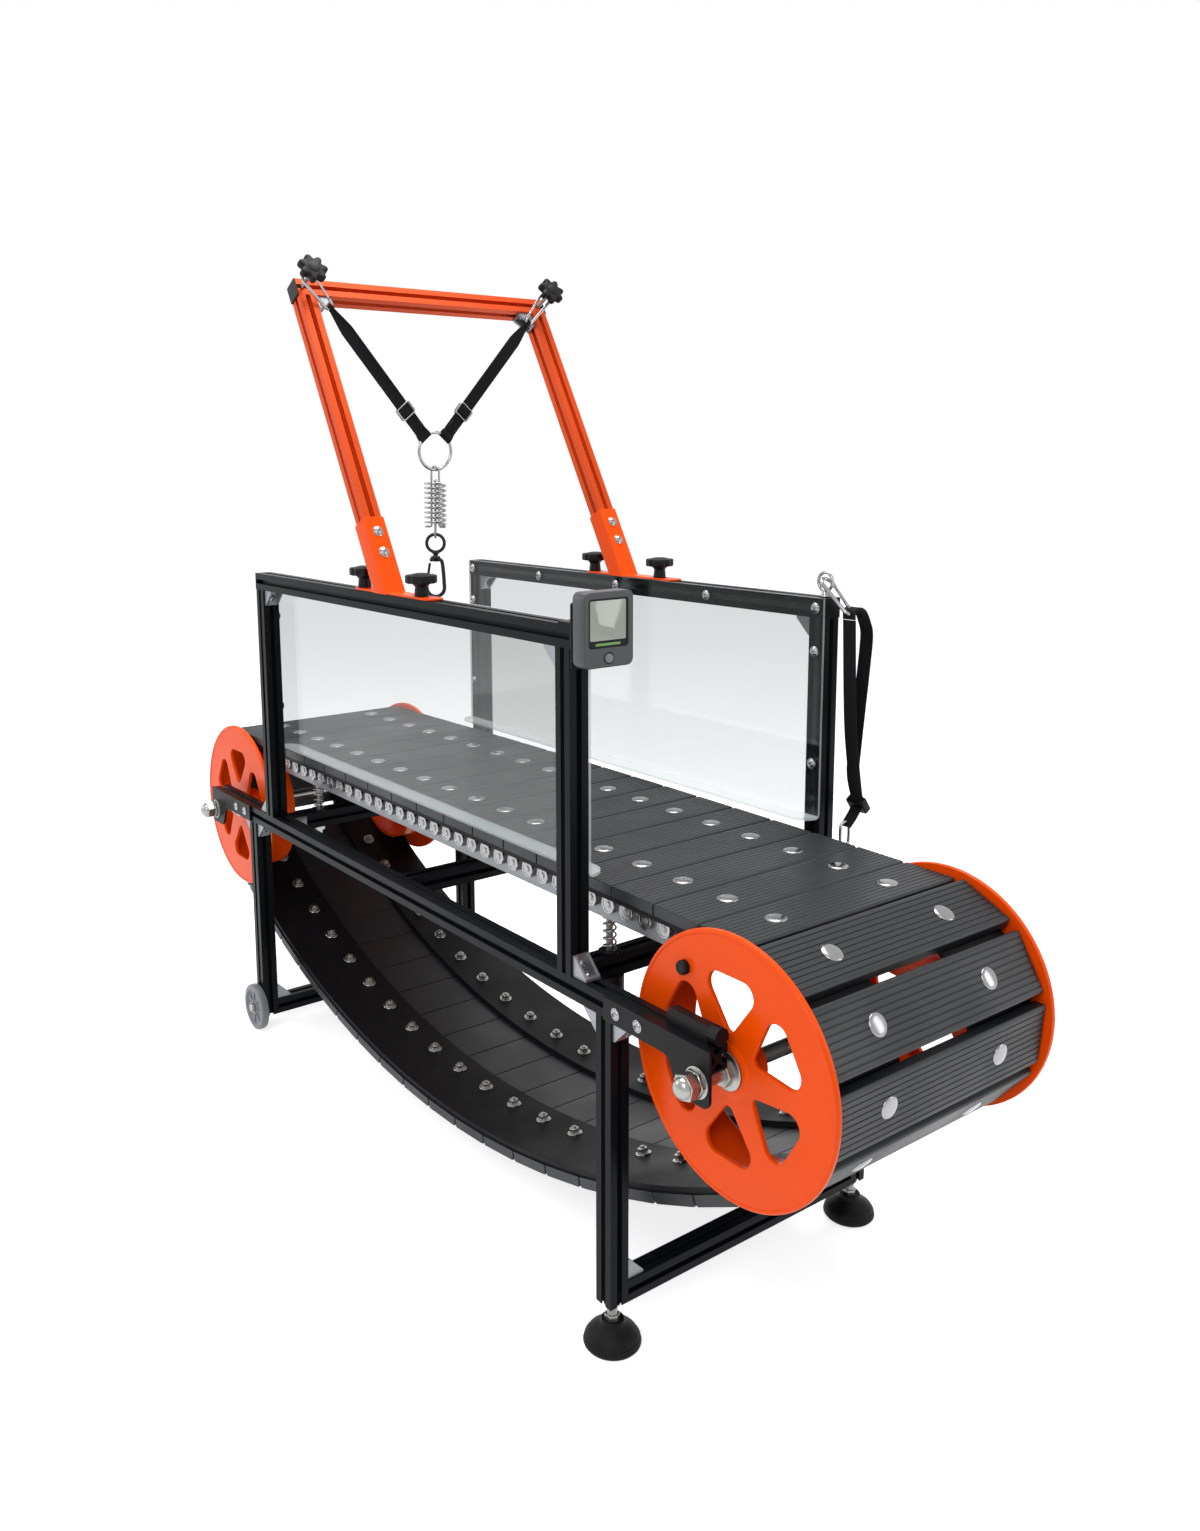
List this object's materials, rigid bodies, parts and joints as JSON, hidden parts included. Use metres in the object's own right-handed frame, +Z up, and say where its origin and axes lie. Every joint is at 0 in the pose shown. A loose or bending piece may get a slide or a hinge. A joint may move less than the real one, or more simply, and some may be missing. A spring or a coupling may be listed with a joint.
{
  "type": "dog treadmill",
  "caption": "Non-motorised slat treadmill for dogs: slat belt on flanged drums and a sprung roller bed, clear side guards, sliding arch with bridle, shock spring and lead hook.",
  "frame": {"origin": "on the floor under the middle of the machine's box", "axes": "+Z up, +X along the belt towards the computer end, +Y towards the side without the computer"},
  "size_m": [1.779, 0.574, 1.4619],
  "materials": {
    "belt": "black belt rubber",
    "black_anodised": "satin black anodised extrusion",
    "black_paint": "satin black powder coat",
    "black_plastic": "black moulded plastic",
    "cast_grey": "grey die cast",
    "clear": "clear acrylic",
    "grey_plastic": "grey wheel plastic",
    "orange_anodised": "satin orange anodised extrusion",
    "orange_paint": "glossy orange powder coat",
    "rubber": "black rubber",
    "slat": "dark grey ribbed slat",
    "steel": "bright steel",
    "webbing": "black polyester webbing",
    "zinc": "zinc plated"
  },
  "bodies": {
    "frame": {"side_rails": "black_anodised", "legs": "black_anodised", "foot_bars": "black_anodised", "bed_bars": "black_anodised", "guard_posts": "black_anodised", "guard_rails": "black_anodised", "guard_panels": "clear", "corner_brackets": "cast_grey", "axle_plates": "black_paint", "axles": "zinc", "belt_left": "belt", "belt_right": "belt", "slats_top": "slat", "slats_front": "slat", "slats_bottom": "slat", "slats_rear": "slat", "frame_screws": "zinc", "tether_eye": "zinc", "computer_mount": "black_paint", "speed_sensor": "black_plastic"},
    "front_drum": {"front_wheels": "orange_paint", "cadence_magnet": "black_plastic"},
    "rear_drum": {"rear_wheels": "orange_paint"},
    "bed": {"bed_rails": "cast_grey", "bed_rollers": "steel", "bed_guides": "zinc", "bed_buffers": "rubber", "bed_springs": "zinc"},
    "arch": {"arch_posts": "orange_anodised", "arch_bar": "orange_anodised", "arch_caps": "black_plastic", "arch_feet": "orange_paint", "arch_brackets": "cast_grey"},
    "bridle": {"bridle_straps": "webbing", "bridle_buckles": "black_plastic", "bridle_clips": "steel", "bridle_ring": "steel"},
    "shock": {"shock_upper": "steel", "shock_coil": "steel"},
    "shock_slider": {"shock_lower": "steel"},
    "swivel": {"lead_swivel": "black_paint"},
    "hook": {"lead_hook": "black_paint"},
    "hook_gate": {"lead_gate": "black_paint"},
    "clip_gate_left": {"clip_gate_left": "steel"},
    "clip_gate_right": {"clip_gate_right": "steel"},
    "computer": {"computer": "black_plastic"},
    "computer_button": {"computer_button": "black_plastic"},
    "foot_left": {"foot_left": "rubber"},
    "foot_right": {"foot_right": "rubber"},
    "transport_wheel_left": {"transport_wheel_left": "grey_plastic"},
    "transport_wheel_right": {"transport_wheel_right": "grey_plastic"},
    "hanging_knob_left": {"hanging_knob_left": "black_plastic"},
    "hanging_knob_right": {"hanging_knob_right": "black_plastic"},
    "clamp_knob_front_left": {"clamp_knob_front_left": "black_plastic"},
    "clamp_knob_front_right": {"clamp_knob_front_right": "black_plastic"},
    "clamp_knob_rear_left": {"clamp_knob_rear_left": "black_plastic"},
    "clamp_knob_rear_right": {"clamp_knob_rear_right": "black_plastic"},
    "tether": {"tether_clips": "steel", "tether_strap": "webbing", "tether_buckle": "black_plastic"}
  },
  "joints": [
    {"name": "front_drum_spin", "type": "hinge", "parent": "frame", "child": "front_drum", "pos_m": [0.72363, 0, 0.45243], "axis": [0, 1, 0], "continuous": true},
    {"name": "rear_drum_spin", "type": "hinge", "parent": "frame", "child": "rear_drum", "pos_m": [-0.72363, 0, 0.40616], "axis": [0, 1, 0], "continuous": true},
    {"name": "bed_travel", "type": "slide", "parent": "frame", "child": "bed", "axis": [-0.032, 0, 0.9995], "range_m": [-0.008, 0], "stiffness_N_per_m": 40000, "springref_m": 0.005, "deforming": ["bed_springs"]},
    {"name": "arch_slide", "type": "slide", "parent": "frame", "child": "arch", "axis": [0.9995, 0, 0.032], "range_m": [-0.38, 0.3]},
    {"name": "clamp_knob_rear_left_turn", "type": "hinge", "parent": "arch", "child": "clamp_knob_rear_left", "pos_m": [-0.09803, -0.235, 0.92941], "axis": [-0.032, 0, 0.9995], "range_deg": [0, 360]},
    {"name": "clamp_knob_rear_right_turn", "type": "hinge", "parent": "arch", "child": "clamp_knob_rear_right", "pos_m": [-0.09803, 0.235, 0.92941], "axis": [-0.032, 0, 0.9995], "range_deg": [0, 360]},
    {"name": "clamp_knob_front_left_turn", "type": "hinge", "parent": "arch", "child": "clamp_knob_front_left", "pos_m": [0.07988, -0.235, 0.9351], "axis": [-0.032, 0, 0.9995], "range_deg": [0, 360]},
    {"name": "clamp_knob_front_right_turn", "type": "hinge", "parent": "arch", "child": "clamp_knob_front_right", "pos_m": [0.07988, 0.235, 0.9351], "axis": [-0.032, 0, 0.9995], "range_deg": [0, 360]},
    {"name": "hanging_knob_left_turn", "type": "hinge", "parent": "arch", "child": "hanging_knob_left", "pos_m": [-0.30336, -0.24, 1.40397], "axis": [0.8542, 0, 0.52], "range_deg": [0, 360]},
    {"name": "hanging_knob_right_turn", "type": "hinge", "parent": "arch", "child": "hanging_knob_right", "pos_m": [-0.30336, 0.24, 1.40397], "axis": [0.8542, 0, 0.52], "range_deg": [0, 360]},
    {"name": "bridle_swing", "type": "hinge", "parent": "arch", "child": "bridle", "pos_m": [-0.2692, 0, 1.43184], "axis": [0, 1, 0], "range_deg": [-10, 1.5]},
    {"name": "clip_gate_left_turn", "type": "hinge", "parent": "bridle", "child": "clip_gate_left", "pos_m": [-0.2692, -0.20508, 1.39575], "axis": [1, 0, 0], "range_deg": [0, 20], "stiffness_Nm_per_rad": 0.05, "springref_deg": -11.46},
    {"name": "clip_gate_right_turn", "type": "hinge", "parent": "bridle", "child": "clip_gate_right", "pos_m": [-0.2692, 0.20508, 1.39575], "axis": [-1, 0, 0], "range_deg": [0, 20], "stiffness_Nm_per_rad": 0.05, "springref_deg": -11.46},
    {"name": "shock_swing", "type": "hinge", "parent": "bridle", "child": "shock", "pos_m": [-0.2692, 0, 1.11657], "axis": [0.819, 0.5738, 0], "range_deg": [-10, 10]},
    {"name": "shock_travel", "type": "slide", "parent": "shock", "child": "shock_slider", "axis": [0, 0, 1], "range_m": [-0.02, 0], "stiffness_N_per_m": 3000, "springref_m": 0.004, "deforming": ["shock_coil"]},
    {"name": "swivel_swing", "type": "hinge", "parent": "shock_slider", "child": "swivel", "pos_m": [-0.2692, 0, 0.99507], "axis": [0.5734, 0.8193, 0], "range_deg": [-15, 15]},
    {"name": "hook_swivel", "type": "hinge", "parent": "swivel", "child": "hook", "pos_m": [-0.2692, 0, 1.14377], "axis": [0, 0, 1], "continuous": true},
    {"name": "hook_gate_turn", "type": "hinge", "parent": "hook", "child": "hook_gate", "pos_m": [-0.27522, -0.0086, 0.94247], "axis": [0.8193, -0.5734, 0], "range_deg": [0, 18], "stiffness_Nm_per_rad": 0.05, "springref_deg": -11.46},
    {"name": "computer_release", "type": "slide", "parent": "frame", "child": "computer", "axis": [-0.032, 0, 0.9995], "range_m": [0, 0.03]},
    {"name": "computer_button_press", "type": "slide", "parent": "computer", "child": "computer_button", "axis": [-0.9995, 0, -0.032], "range_m": [0, 0.0015], "stiffness_N_per_m": 400, "springref_m": -0.0006},
    {"name": "foot_left_height", "type": "slide", "parent": "frame", "child": "foot_left", "axis": [0.032, 0, -0.9995], "range_m": [0, 0.02]},
    {"name": "transport_wheel_left_spin", "type": "hinge", "parent": "frame", "child": "transport_wheel_left", "pos_m": [-0.53499, -0.25, 0.045], "axis": [0, 1, 0], "continuous": true},
    {"name": "foot_right_height", "type": "slide", "parent": "frame", "child": "foot_right", "axis": [0.032, 0, -0.9995], "range_m": [0, 0.02]},
    {"name": "transport_wheel_right_spin", "type": "hinge", "parent": "frame", "child": "transport_wheel_right", "pos_m": [-0.53499, 0.25, 0.045], "axis": [0, 1, 0], "continuous": true},
    {"name": "tether_swing", "type": "hinge", "parent": "frame", "child": "tether", "pos_m": [0.44583, 0.235, 0.97382], "axis": [0, 1, 0], "range_deg": [-4, 0]}
  ],
  "couplings": [
    {"joint": "rear_drum_spin", "follows": "front_drum_spin", "ratio": 1}
  ]
}
